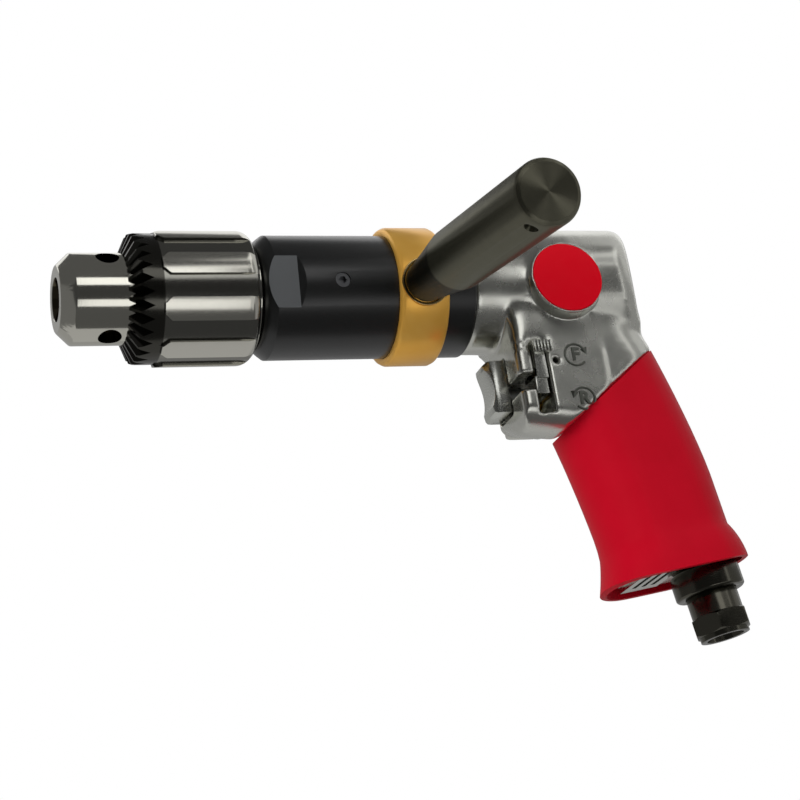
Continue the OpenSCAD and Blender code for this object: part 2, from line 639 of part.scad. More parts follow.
// Trigger: a finger piece with a hollow front and round front corners, and a blind hole for the stem
module trigger() color("#8d9095") difference() {
    intersection() {
        rotate([90, 0, 0]) translate([0, 0, -trigger_half]) linear_extrude(2 * trigger_half) difference() {
            polygon([[trigger_back, valve_z + 10.2], [cheek_x - 5.6, valve_z + 10.2], [cheek_x - 6.6, valve_z + 9.5],
                [cheek_x - 6.9, valve_z + 8.3], [cheek_x - 5.7, valve_z - 5.6], [cheek_x - 5.4, valve_z - 6.8],
                [cheek_x - 4.6, valve_z - 7.3], [trigger_back, valve_z - 7.3]]);
            translate([cheek_x - 18.45, valve_z + 0.8]) circle(r = 13.9);
        }
        translate([0, 0, valve_z - 20]) linear_extrude(40) union() {
            translate([cheek_x - 6.95 + trigger_round, -trigger_half - 1]) square([20, 2 * trigger_half + 2]);
            translate([cheek_x - 6.95, -trigger_half + trigger_round])
                square([10, 2 * (trigger_half - trigger_round)]);
            for (t = [-1, 1]) translate([cheek_x - 6.95 + trigger_round, t * (trigger_half - trigger_round)])
                circle(r = trigger_round);
        }
    }
    at_valve() disc(cheek_x - 1.2, stem_r + run_gap, 10);
}

module valve_stem() color("silver") at_valve() disc(cheek_x - 1, stem_r, head_x + head_w - cheek_x + 1);

module throttle_valve() color("goldenrod") at_valve() tube(head_x, stem_r + 2.2, stem_r + run_gap, head_w);

module valve_seat() color("goldenrod") at_valve() tube(seat_x, valve_r, stem_r + 1, 3);

// Round wire spring behind the throttle valve
module valve_spring() color("silver") at_valve() translate([spring_x, 0, 0]) rotate([0, 90, 0]) coil(5, 4.2, 0.45);

module coil(turns, mean, wire) {
    n = 12;
    m = 6;
    steps = turns * n;
    rise = spring_len - 2 * wire;
    points = [for (i = [0:steps], k = [0:m - 1])
        let (a = i * 360 / n, b = k * 360 / m, r = mean + wire * cos(b))
        [r * cos(a), r * sin(a), wire + rise * i / steps + wire * sin(b)]];
    sides = [for (i = [0:steps - 1], k = [0:m - 1])
        [i * m + k, i * m + (k + 1) % m, (i + 1) * m + (k + 1) % m, (i + 1) * m + k]];
    ends = [[for (k = [m - 1:-1:0]) k], [for (k = [0:m - 1]) steps * m + k]];
    polyhedron(points = points, faces = concat(sides, ends));
    echo("least gap between the turns of the spring", rise / turns - 2 * wire);
}

// Reverse lever: a hub round the stem, an arm through the window and a ribbed tab outside the flank
module reverse_lever() color("#9a9da1") difference() {
    union() {
        at_valve() disc(lever_x, valve_r - 0.2, lever_w);
        translate([lever_x, -neck_half + 1.4, valve_z - 5]) cube([lever_w, neck_half - 1.4, 5.8]);
        translate([lever_x + 0.5, -neck_half + 0.7, valve_z]) cube([lever_w - 0.2, recess - 1.2, 11]);
        translate([lever_x + 0.5, -neck_half - tab_out, valve_z + 7.8])
            cube([lever_w - 0.2, tab_out + recess - 0.5, 3.8]);
        translate([lever_x - 0.2, -neck_half - tab_out, valve_z + 7.8]) cube([5.9, tab_out - free_gap, 3.8]);
    }
    at_valve() disc(lever_x - 1, stem_r + 0.5, lever_w + 2);
    for (i = [0:4]) translate([lever_x + 0.55 + i * 1.1, -neck_half - tab_out, valve_z + 9]) rotate([0, 0, 45])
        cube([0.6, 0.6, 10], center = true);
}

// Reverse valve: a sleeve with a keeper groove and two ports
module reverse_valve() color("goldenrod") at_valve() difference() {
    disc(valve_x, valve_r, seat_x - valve_x - 0.5);
    disc(valve_x - 1, stem_r + 0.5, 40);
    tube(keeper_x - 1.2, valve_r + 1, valve_r - 2.6, 2.4);
    for (a = [0, 60]) translate([valve_x + 9, 0, 0]) rotate([a, 0, 0]) cylinder(r = 2, h = 20);
}

module reverse_valve_pin() color("dimgray") translate([keeper_x, 0, keeper_z]) rotate([90, 0, 0])
    cylinder(r = keeper_r, h = 2 * neck_half - 5, center = true);

// Foot of the grip: exhaust plate over the felt, and the inlet with its ring, hexagon and screen
module exhaust_plate() color("#8e9297") at_grip() difference() {
    translate([-25 + run_gap, -11 + run_gap, 0.2]) cube([13.4 - 2 * run_gap, 22 - 2 * run_gap, 2]);
    for (i = [-1:1]) translate([-19.2 + i * 3.4, -7, -1]) cube([1.6, 14, 5]);
}

module muffler_felt() color("#5a5a55") at_grip()
    translate([-24 + run_gap, -10.5 + run_gap, 2.3]) cube([11 - 2 * run_gap, 21 - 2 * run_gap, 16]);

module inlet_ring() color("#26261f") at_grip() difference() {
    rotate_extrude() polygon([[inlet_r + run_gap, -8.2], [inlet_ring_r - 0.6, -8.2], [inlet_ring_r, -7.6],
        [inlet_ring_r, -0.75], [inlet_ring_r - 0.6, -0.15], [inlet_r + run_gap, -0.15]]);
}

module inlet_bushing() color("#34342e") at_grip() difference() {
    union() {
        translate([0, 0, -15.5]) cylinder(r = inlet_r, h = 27.5);
        intersection() {
            translate([0, 0, -21]) cylinder(r = inlet_hex / 2 / cos(30), h = 6, $fn = 6);
            rotate_extrude() polygon([[0, -21], [inlet_hex / 2, -21], [inlet_hex / 2 + 2, -19.8],
                [inlet_hex / 2 + 2, -16.2], [inlet_hex / 2, -15], [0, -15]]);
        }
        translate([0, 0, inlet_end]) cylinder(r = inlet_hex / 2 - 0.6, h = 3);
    }
    translate([0, 0, inlet_end - 1]) cylinder(r = inlet_thread_r, h = 14.7);
    translate([0, 0, -10]) cylinder(r = inlet_hole_r, h = 40);
}

module inlet_screen() color("silver") at_grip() difference() {
    translate([0, 0, -8.4]) cylinder(r = inlet_hole_r - run_gap, h = 0.5);
    for (i = [0:5]) rotate([0, 0, i * 60]) translate([2.5, 0, -12]) cylinder(r = 0.8, h = 6);
    translate([0, 0, -12]) cylinder(r = 0.8, h = 6);
}

motor_housing();
badge_disc();
gear_housing();
gear_housing_screw();
ring_gear();
bearing_spacer();
bearing_retainer();
spindle_bearing_outer_rings();
spindle_bearing_balls();
motor_spacer();
front_end_plate();
rear_end_plate();
rotor_cylinder();
cylinder_dowel_pin();
rotor_bearing_outer_rings();
rotor_bearing_balls();
valve_seat();
valve_spring();
reverse_valve_pin();
grip_sleeve();
exhaust_plate();
muffler_felt();
inlet_ring();
inlet_bushing();
inlet_screen();
spindle();
planet_pins_low();
spindle_bearing_inner_rings();
chuck_body();
chuck_screw();
chuck_sleeve();
chuck_nut();
chuck_jaw_1();
chuck_jaw_2();
chuck_jaw_3();
planet_low_1();
planet_low_2();
planet_low_3();
first_carrier();
planet_pins_high();
planet_high_1();
planet_high_2();
planet_high_3();
rotor();
rotor_vanes();
rotor_bearing_inner_rings();
trigger();
valve_stem();
throttle_valve();
reverse_lever();
reverse_valve();
clamp_collar();
side_handle();
handle_stud();
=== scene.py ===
import math

import bmesh
import bpy
from mathutils import Matrix, Vector


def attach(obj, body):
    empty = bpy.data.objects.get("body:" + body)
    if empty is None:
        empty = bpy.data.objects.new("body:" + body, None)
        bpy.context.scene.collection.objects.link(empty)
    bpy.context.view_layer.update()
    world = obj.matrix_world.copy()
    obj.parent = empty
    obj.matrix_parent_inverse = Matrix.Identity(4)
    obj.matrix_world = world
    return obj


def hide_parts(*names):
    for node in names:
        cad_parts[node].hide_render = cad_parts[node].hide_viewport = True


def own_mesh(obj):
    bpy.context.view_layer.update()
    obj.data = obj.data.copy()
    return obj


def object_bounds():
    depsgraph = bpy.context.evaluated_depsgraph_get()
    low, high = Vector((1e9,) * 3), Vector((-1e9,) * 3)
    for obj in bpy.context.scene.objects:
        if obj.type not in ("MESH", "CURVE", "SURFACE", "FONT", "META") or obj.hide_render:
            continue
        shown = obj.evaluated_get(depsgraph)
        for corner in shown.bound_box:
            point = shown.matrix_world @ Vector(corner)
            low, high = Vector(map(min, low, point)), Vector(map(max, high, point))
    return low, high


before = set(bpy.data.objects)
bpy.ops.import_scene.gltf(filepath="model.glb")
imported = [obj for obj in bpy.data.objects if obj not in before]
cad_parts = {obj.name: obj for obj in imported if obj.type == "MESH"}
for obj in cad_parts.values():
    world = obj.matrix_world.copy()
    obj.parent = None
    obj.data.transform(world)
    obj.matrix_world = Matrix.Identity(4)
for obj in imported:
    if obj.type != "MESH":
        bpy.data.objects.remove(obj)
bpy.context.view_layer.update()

# Motor housing: one aluminium casting that holds the motor in its barrel, the valves in its neck and the
# air passage in the core of the grip. It is cast, ground and polished by hand, so every corner is soft.
mm = 0.001
voxel = 0.55 * mm
badge_x, badge_z, badge_seat_radius = 158.5 * mm, -3.5 * mm, 12.6 * mm
barrel_half, bore_limit = 21.5 * mm, 17.2 * mm
corner_back, belly_up, rear_round = 4.5 * mm, 5 * mm, 7.2 * mm
# The upper edge of the rubber lies in a plane through this point, which rises towards the back
slant, slant_x, slant_z = math.radians(37.3), 164.5 * mm, -42.5 * mm


def tone(code):
    parts = [int(code[i:i + 2], 16) / 255 for i in (1, 3, 5)]
    return (*[p / 12.92 if p <= 0.04045 else ((p + 0.055) / 1.055) ** 2.4 for p in parts], 1.0)


def add(tree, kind, sockets, **settings):
    made = tree.nodes.new(kind)
    for name, value in settings.items():
        setattr(made, name, value)
    for name, value in sockets.items():
        if isinstance(value, bpy.types.NodeSocket):
            tree.links.new(value, made.inputs[name])
        else:
            made.inputs[name].default_value = value
    return made


def surface(name, colour, metallic, **more):
    made = bpy.data.materials.new(name)
    made.use_nodes = True
    tree = made.node_tree
    shader = tree.nodes["Principled BSDF"]
    shader.inputs["Base Color"].default_value = tone(colour)
    shader.inputs["Metallic"].default_value = metallic
    for socket, value in more.items():
        shader.inputs[socket.replace("_", " ")].default_value = value
    place = add(tree, "ShaderNodeTexCoord", {}).outputs["Object"]
    return made, tree, shader, place


# Roughness that drifts in clouds of the given size, as rubbing, plating and handling leave it
def cloud_gloss(tree, shader, place, size, low, high, detail=3.0, span=(0.0, 1.0)):
    clouds = add(tree, "ShaderNodeTexNoise", {"Vector": place, "Scale": 1 / size, "Detail": detail})
    gloss = add(tree, "ShaderNodeMapRange", {"Value": clouds.outputs["Fac"], "From Min": span[0],
                                             "From Max": span[1], "To Min": low, "To Max": high})
    tree.links.new(gloss.outputs["Result"], shader.inputs["Roughness"])
    return clouds.outputs["Fac"]


def merged(node):
    bm = bmesh.new()
    bm.from_mesh(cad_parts[node].data)
    bmesh.ops.remove_doubles(bm, verts=bm.verts, dist=0.003 * mm)
    return bm


def as_mesh(holder):
    bpy.context.scene.collection.objects.link(holder)
    bpy.context.view_layer.update()
    shape = bpy.data.meshes.new_from_object(holder.evaluated_get(bpy.context.evaluated_depsgraph_get()))
    bpy.data.objects.remove(holder)
    return shape


# A face larger than 120 square mm is a flat, on which soft shading would smear
def build(name, bm, body, material, crease=30):
    for face in bm.faces:
        face.smooth = face.calc_area() < 120 * mm * mm
        face.material_index = 0
    for edge in bm.edges:
        edge.smooth = len(edge.link_faces) == 2 and edge.calc_face_angle(0) < math.radians(crease)
    mesh = bpy.data.meshes.new(name)
    bm.to_mesh(mesh)
    bm.free()
    if "custom_normal" in mesh.attributes:
        mesh.attributes.remove(mesh.attributes["custom_normal"])
    mesh.materials.clear()
    mesh.materials.append(material)
    piece = bpy.data.objects.new(name, mesh)
    bpy.context.scene.collection.objects.link(piece)
    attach(piece, body)
    return piece


# Polished cast aluminium: bright and slightly wavy where it was buffed, with faint clouds in its gloss and
# pin pores.
cast_aluminium, tree, shader, place = surface("polished cast aluminium", "#dadad2", 1.0)
cloud_gloss(tree, shader, place, 8 * mm, 0.22, 0.3, detail=4.0, span=(0.3, 0.7))
pores = add(tree, "ShaderNodeTexVoronoi", {"Vector": place, "Scale": 1 / (3.2 * mm), "Randomness": 1.0})
pore = add(tree, "ShaderNodeMapRange", {"Value": pores.outputs["Distance"], "From Min": 0.02,
                                        "From Max": 0.06, "To Min": 0.55, "To Max": 1.0})
tint = add(tree, "ShaderNodeMix", {"Factor": pore.outputs["Result"], 6: tone("#a3a49c"),
                                   7: tone("#dadad2")}, data_type="RGBA")
tree.links.new(tint.outputs[2], shader.inputs["Base Color"])
buffing = add(tree, "ShaderNodeTexNoise", {"Vector": place, "Scale": 1 / (5 * mm), "Detail": 2.0})
ripple = add(tree, "ShaderNodeBump", {"Height": buffing.outputs["Fac"], "Strength": 0.25,
                                      "Distance": 0.12 * mm})
tree.links.new(ripple.outputs["Normal"], shader.inputs["Normal"])

bm = merged("motor_housing")
raw = bpy.data.meshes.new("raw_casting")
bm.to_mesh(raw)
bm.free()
raw_casting = bpy.data.objects.new("raw_casting", raw)
voxels = raw_casting.modifiers.new("voxels", "REMESH")
voxels.mode = "VOXEL"
voxels.voxel_size = voxel
bm = bmesh.new()
bm.from_mesh(as_mesh(raw_casting))


def polish(verts, passes):
    for _ in range(passes):
        bmesh.ops.smooth_vert(bm, verts=verts, factor=0.5, use_axis_x=True, use_axis_y=True, use_axis_z=True)


def on_neck(p):
    return 137 * mm < p.x < 172 * mm


def near_lever(p):
    return 137 * mm < p.x < 153.5 * mm and -51 * mm < p.z < -20 * mm


def in_badge(p):
    return p.y < -17 * mm and math.hypot(p.x - badge_x, p.z - badge_z) < badge_seat_radius


def blend(value, low, high):
    t = max(0.0, min(1.0, (value - low) / (high - low)))
    return t * t * (3 - 2 * t)


# The right-hand corner of the neck is ground back from the trigger and up from the belly
for v in bm.verts:
    if on_neck(v.co) and -60 * mm < v.co.z < -18 * mm:
        v.co.x += corner_back * blend(v.co.y, 5.9 * mm, 14 * mm) * (1 - blend(v.co.x, 139 * mm, 165 * mm))
        v.co.z += belly_up * blend(v.co.y, -4 * mm, 8 * mm) * (1 - blend(v.co.z, -49 * mm, -43.5 * mm))
ground = [v for v in bm.verts if on_neck(v.co) and (v.co.z < -44 * mm and v.co.y > -6 * mm
          or -60 * mm < v.co.z < -20 * mm and v.co.y > 6.5 * mm)]
# The rear end of the barrel is rounded in plan, and its top edge keeps a small radius
for v in bm.verts:
    rounded = rear_round * (v.co.y / barrel_half) ** 2 * blend(v.co.x, 164 * mm, 187 * mm)
    v.co.x -= rounded * blend(v.co.z, -24 * mm, -8 * mm)
polish([v for v in bm.verts if not in_badge(v.co)], 2)
polish(ground, 28)
polish([v for v in bm.verts if v.co.x > 168 * mm and v.co.z > -21 * mm and not in_badge(v.co)], 20)
polish([v for v in bm.verts if not near_lever(v.co) and not in_badge(v.co)], 11)
# Coves between the neck and the barrel, the inner one worked longest
for low, high, passes in ((-26, -8, 35), (-23, -10, 48)):
    polish([v for v in bm.verts if 139 * mm < v.co.x < 190 * mm and low * mm < v.co.z < high * mm
            and abs(v.co.y) > 12 * mm and not in_badge(v.co)], passes)


# Inside the bore and under the rubber nothing shows, so a coarser mesh serves there
def unseen(p):
    under_rubber = (p.x - slant_x) * math.sin(slant) - (p.z - slant_z) * math.cos(slant) > 3 * mm
    in_bore = math.hypot(p.y, p.z) < bore_limit and p.z > -15 * mm and 131 * mm < p.x < 180 * mm
    return under_rubber or in_bore


for face in bm.faces:
    face.tag = unseen(face.calc_center_median())
bmesh.ops.dissolve_limit(bm, angle_limit=math.radians(6),
                         verts=[v for v in bm.verts if any(f.tag for f in v.link_faces)],
                         edges=[e for e in bm.edges if any(f.tag for f in e.link_faces)])
housing = build("housing_casting", bm, "housing", cast_aluminium, crease=180)
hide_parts("motor_housing")

# Badge plate: a pressed disc with a bare, slightly domed face of red enamel, glued into a round seat in the
# boss of the casting, whose bright rim stands round it.
badge_radius, badge_y, badge_wall = 11.55 * mm, -21.42 * mm, 0.9 * mm
upright = Matrix.Rotation(math.radians(90), 4, "X")

# Red enamel: a deep even red that mirrors little and only softly
red_enamel, tree, shader, place = surface("red enamel", "#cb0018", 0.0, Specular_IOR_Level=0.1)
cloud_gloss(tree, shader, place, 4 * mm, 0.16, 0.3)

bm = bmesh.new()
bmesh.ops.create_circle(bm, cap_ends=True, radius=badge_radius, segments=96)
disc = bmesh.ops.extrude_face_region(bm, geom=bm.faces[:])
top = [g for g in disc["geom"] if isinstance(g, bmesh.types.BMFace)]
bmesh.ops.translate(bm, verts=top[0].verts, vec=(0, 0, badge_wall))
for step, rise in ((0.15, 0.1), (2.5, 0.12), (3.5, 0.08), (3.0, 0.03)):
    bmesh.ops.inset_region(bm, faces=top, thickness=step * mm, depth=rise * mm)
bmesh.ops.recalc_face_normals(bm, faces=bm.faces)
bmesh.ops.transform(bm, matrix=Matrix.Translation((badge_x, badge_y, badge_z)) @ upright, verts=bm.verts)
badge = build("badge_plate", bm, "housing", red_enamel, crease=25)
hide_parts("badge_disc")

# Direction marks: a raised letter in a raised turning arrow for each way of the motor, cast with the flank.
# They are coloured a darker grey than the flank and are rougher.
arrow_radius, bar_radius, flank_y = 3.6 * mm, 0.42 * mm, -16.25 * mm
arrow_start, arrow_sweep, head_at = math.radians(28), math.radians(290), math.radians(18)

# Darker mark aluminium: a darker, dull grey with a fine grain
darker_mark_aluminium, tree, shader, place = surface("darker mark aluminium", "#74766f", 1.0)
cloud_gloss(tree, shader, place, 0.5 * mm, 0.32, 0.5)

for letter, x, z, way in (("F", 158.9, -27.8, 1), ("R", 159.2, -42.6, -1)):
    bm = bmesh.new()
    bmesh.ops.create_circle(bm, cap_ends=False, radius=bar_radius, segments=10,
                            matrix=Matrix.Translation((arrow_radius, 0, 0)) @ upright)
    bmesh.ops.rotate(bm, verts=bm.verts, cent=(0, 0, 0), matrix=Matrix.Rotation(arrow_start, 3, "Z"))
    bmesh.ops.spin(bm, geom=bm.edges[:], cent=(0, 0, 0), axis=(0, 0, 1), angle=arrow_sweep, steps=48)
    bmesh.ops.holes_fill(bm, edges=bm.edges, sides=0)
    bmesh.ops.create_cone(bm, cap_ends=True, segments=12, radius1=1.2 * mm, radius2=0.05 * mm, depth=2.2 * mm,
                          matrix=Matrix.Rotation(head_at, 4, "Z") @ Matrix.Translation((arrow_radius, 0, 0))
                          @ upright)
    bmesh.ops.scale(bm, verts=bm.verts, vec=(way, 1, 0.8))
    word = bpy.data.curves.new("letter", "FONT")
    word.body = letter
    word.size = 5.9 * mm
    word.offset = 0.12 * mm
    word.align_x = "CENTER"
    word.align_y = "CENTER"
    word.extrude = 0.3 * mm
    word.bevel_depth = 0.08 * mm
    bm.from_mesh(as_mesh(bpy.data.objects.new("letter", word)))
    bmesh.ops.remove_doubles(bm, verts=bm.verts, dist=0.002 * mm)
    bmesh.ops.recalc_face_normals(bm, faces=bm.faces)
    bmesh.ops.transform(bm, verts=bm.verts, matrix=Matrix.Translation((x * mm, flank_y, z * mm)) @ upright)
    # The rubber covers whatever reaches under its slanted edge
    bmesh.ops.bisect_plane(bm, geom=bm.verts[:] + bm.edges[:] + bm.faces[:], plane_co=(slant_x, 0, slant_z),
                           plane_no=(-math.sin(slant), 0, math.cos(slant)), clear_inner=True)
    bmesh.ops.holes_fill(bm, edges=bm.edges, sides=0)
    build("direction_mark_" + letter.lower(), bm, "housing", darker_mark_aluminium)

# Air motor: a slotted steel rotor with five composite vanes turns in a steel cylinder between two end plates,
# each with its ball bearing. All of it lies hidden in the barrel.

# Ground machine steel: a plain light grey with an even, fine sheen
machine_steel, tree, shader, place = surface("ground machine steel", "#b4b5b7", 1.0)
cloud_gloss(tree, shader, place, 0.8 * mm, 0.22, 0.4)

# Pressed vane composite: matt brown with the bands of its cloth
vane_composite, tree, shader, place = surface("pressed vane composite", "#6d4a2c", 0.0, Roughness=0.6)
weave = add(tree, "ShaderNodeTexWave", {"Vector": place, "Scale": 1 / (1.2 * mm), "Distortion": 2.0})
tint = add(tree, "ShaderNodeMix", {"Factor": weave.outputs["Fac"], 6: tone("#5c3d24"), 7: tone("#7a5533")},
           data_type="RGBA")
tree.links.new(tint.outputs[2], shader.inputs["Base Color"])


def dress(material, *names):
    for name in names:
        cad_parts[name].data.materials.clear()
        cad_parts[name].data.materials.append(material)


dress(machine_steel, "motor_spacer", "front_end_plate", "rear_end_plate", "rotor_cylinder",
      "cylinder_dowel_pin", "rotor", "rotor_bearing_outer_rings", "rotor_bearing_inner_rings",
      "rotor_bearing_balls")
dress(vane_composite, "rotor_vanes")

# Gear train: two planetary stages in one toothed ring step the motor's speed down to the spindle, which turns
# in two ball bearings held by a retainer. The wheels are hobbed steel.

# Oiled hobbed steel: a middle grey whose oil film lies in soft patches
dark_steel, tree, shader, place = surface("oiled hobbed steel", "#77787a", 1.0)
cloud_gloss(tree, shader, place, 2.5 * mm, 0.24, 0.44)

dress(dark_steel, "ring_gear", "first_carrier", "planet_pins_low", "planet_pins_high", "bearing_retainer",
      *[f"planet_{stage}_{i}" for stage in ("low", "high") for i in (1, 2, 3)])
dress(machine_steel, "spindle", "bearing_spacer", "spindle_bearing_outer_rings",
      "spindle_bearing_inner_rings", "spindle_bearing_balls")

# Gear housing: a turned steel case with two spanner flats and a grub screw, finished in satin black enamel.
# The flats are coloured a lighter grey than the enamel, as a painted reflection of the light they would
# catch.
flat_turn, flat_out, flat_end = math.radians(8), 17.7 * mm, 71.4 * mm

# Satin black enamel: lies a little uneven and catches the light softly on its edges
black_enamel, tree, shader, place = surface("satin black enamel", "#0b0c0c", 0.0, Coat_Weight=0.45,
                                            Coat_Roughness=0.25)
peel = cloud_gloss(tree, shader, place, 0.9 * mm, 0.28, 0.4)
lumps = add(tree, "ShaderNodeBump", {"Height": peel, "Strength": 0.2, "Distance": 0.03 * mm})
tree.links.new(lumps.outputs["Normal"], shader.inputs["Normal"])
split = add(tree, "ShaderNodeSeparateXYZ", {"Vector": place})
# Painted reflection: points on the planes of the spanner flats, ahead of their back end, are tinted a lighter
# grey
beyond = add(tree, "ShaderNodeVectorMath", {0: place, 1: (0.0, math.cos(flat_turn), math.sin(flat_turn))},
             operation="DOT_PRODUCT")
beyond = add(tree, "ShaderNodeMath", {0: beyond.outputs["Value"]}, operation="ABSOLUTE")
beyond = add(tree, "ShaderNodeMath", {0: beyond.outputs["Value"], 1: flat_out}, operation="SUBTRACT")
beyond = add(tree, "ShaderNodeMath", {0: beyond.outputs["Value"]}, operation="ABSOLUTE")
level = add(tree, "ShaderNodeMapRange", {"Value": beyond.outputs["Value"], "From Min": 0.02 * mm,
                                         "From Max": 0.06 * mm, "To Min": 1.0, "To Max": 0.0})
ahead = add(tree, "ShaderNodeMath", {0: split.outputs["X"], 1: flat_end + 0.05 * mm}, operation="LESS_THAN")
flat_painted_reflection = add(tree, "ShaderNodeMath", {0: level.outputs["Result"], 1: ahead.outputs["Value"]},
             operation="MULTIPLY")
tint = add(tree, "ShaderNodeMix", {"Factor": flat_painted_reflection.outputs["Value"], 6: tone("#0b0c0c"),
                                   7: tone("#454749")}, data_type="RGBA")
tree.links.new(tint.outputs[2], shader.inputs["Base Color"])


def ease(bm, width, angle=30, keep=lambda edge: True):
    bmesh.ops.dissolve_limit(bm, angle_limit=math.radians(0.4), verts=bm.verts, edges=bm.edges)
    sharp = [e for e in bm.edges if len(e.link_faces) == 2 and e.calc_face_angle(0) > math.radians(angle)
             and keep(e)]
    bmesh.ops.bevel(bm, geom=sharp, offset=width, offset_type="OFFSET", segments=2, profile=0.5,
                    affect="EDGES", material=-1, clamp_overlap=True)


bm = merged("gear_housing")
# The cutter leaves each flat on a slope, so the flat ends in a crescent
for v in bm.verts:
    out = abs(v.co.y * math.cos(flat_turn) + v.co.z * math.sin(flat_turn)) - flat_out
    if abs(v.co.x - flat_end) < 0.05 * mm and out > 0.01 * mm:
        v.co.x += 1.1 * out
ease(bm, 0.3 * mm, 38)
case = build("gear_case", bm, "housing", black_enamel, crease=22)
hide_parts("gear_housing")
dress(dark_steel, "gear_housing_screw")

# Clamp collar: a ring of yellow-passivated zinc that clamps the side handle round the gear housing. It is
# turned, tumbled and plated, so its edges are round.

# Yellow passivated zinc: a satin gold that drifts a little in hue and gloss
gold_plate, tree, shader, place = surface("yellow passivated zinc", "#e3ad4a", 0.62)
drift = cloud_gloss(tree, shader, place, 11 * mm, 0.24, 0.36, detail=2.0)
tint = add(tree, "ShaderNodeMix", {"Factor": drift, 6: tone("#e2a236"), 7: tone("#f2bf60")},
           data_type="RGBA")
tree.links.new(tint.outputs[2], shader.inputs["Base Color"])

bm = merged("clamp_collar")
ease(bm, 0.25 * mm)
collar = build("collar_ring", bm, "collar", gold_plate, crease=50)
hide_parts("clamp_collar")

# Seat rim: the thin raised edge of the collar's boss, inside which the cone of the side handle turns. The
# cone rubs it bright, and its paler colour is also a painted highlight along the rim.
handle_x, handle_tilt = 111 * mm, 11.6
rim_radius, rim_out, rim_wide, rim_high = 7.25 * mm, 20.78 * mm, 0.9 * mm, 2.5 * mm

# Burnished yellow zinc: paler than the collar, partly as a painted highlight, and almost a mirror
burnished_highlight_plate, tree, shader, place = surface("burnished yellow zinc with painted highlight", "#f2cf8a", 1.0)
cloud_gloss(tree, shader, place, 2 * mm, 0.1, 0.22, detail=2.0)

bm = bmesh.new()
bmesh.ops.create_grid(bm, x_segments=1, y_segments=1, size=0.5,
                      matrix=Matrix.Translation((rim_radius, 0, rim_out)) @ upright
                      @ Matrix.Diagonal((rim_wide, rim_high, 1, 1)))
bmesh.ops.delete(bm, geom=bm.faces[:], context="FACES_ONLY")
bmesh.ops.spin(bm, geom=bm.verts[:] + bm.edges[:], cent=(0, 0, 0), axis=(0, 0, 1), angle=math.tau, steps=72,
               use_merge=True)
bmesh.ops.remove_doubles(bm, verts=bm.verts, dist=0.002 * mm)
bmesh.ops.recalc_face_normals(bm, faces=bm.faces)
bmesh.ops.transform(bm, verts=bm.verts, matrix=Matrix.Translation((handle_x, 0, 0))
                    @ Matrix.Rotation(math.radians(90 + handle_tilt), 4, "X"))
bmesh.ops.bevel(bm, geom=[e for e in bm.edges if e.calc_face_angle(0) > 0.8], offset=0.14 * mm,
                offset_type="OFFSET", segments=3, profile=0.5, affect="EDGES", material=-1,
                clamp_overlap=True)
build("collar_seat_rim", bm, "collar", burnished_highlight_plate, crease=50)

# Side handle: a turned steel bar, conical towards the collar, screwed on a stud and cross drilled near its
# end. The cone is coloured darker than the shank.
handle_axis = Vector((0, -math.cos(math.radians(handle_tilt)), -math.sin(math.radians(handle_tilt))))
cone_end, cone_length, root_taper = 50 * mm, 28.5 * mm, 0.13

# Dark polished steel: olive grey, with fine turning rings that stretch the light across its end face
handle_steel, tree, shader, place = surface("dark polished steel", "#7a7868", 1.0, Anisotropic=0.96,
                                            Anisotropic_Rotation=0.25)
cloud_gloss(tree, shader, place, 3 * mm, 0.3, 0.38)
local = add(tree, "ShaderNodeVectorMath", {0: place, 1: (handle_x, 0, 0)}, operation="SUBTRACT")
round_way = add(tree, "ShaderNodeVectorMath", {0: local.outputs["Vector"], 1: handle_axis},
                operation="CROSS_PRODUCT")
tree.links.new(round_way.outputs["Vector"], shader.inputs["Tangent"])
along = add(tree, "ShaderNodeVectorMath", {0: local.outputs["Vector"], 1: handle_axis},
            operation="DOT_PRODUCT")
# The cone, up to 50 mm along the axis, is coloured darker than the shank
shank = add(tree, "ShaderNodeMapRange", {"Value": along.outputs["Value"], "From Min": 49.5 * mm,
                                         "From Max": 51 * mm})
tint = add(tree, "ShaderNodeMix", {"Factor": shank.outputs["Result"], 6: tone("#45443c"),
                                   7: tone("#7a7868")}, data_type="RGBA")
tree.links.new(tint.outputs[2], shader.inputs["Base Color"])

bm = merged("side_handle")
# The cone runs down to a slimmer root than the seat, which leaves the seat's rim bare
for v in bm.verts:
    reach = v.co - Vector((handle_x, 0, 0))
    way = reach.dot(handle_axis)
    wide = reach - way * handle_axis
    if way < cone_end and wide.length > 6 * mm:
        v.co -= wide * root_taper * (cone_end - way) / cone_length
ease(bm, 0.3 * mm)
handle = build("handle_bar", bm, "handle", handle_steel, crease=40)
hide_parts("side_handle")
dress(machine_steel, "handle_stud")

# Chuck body: turned bar steel, bored for the drill and drilled for the chuck key and the jaws. Its outside is
# bright, and the walls of the bore and the holes are darkened with painted shade.
nose_radius, nose_chamfer = 14.1 * mm, 4 * mm

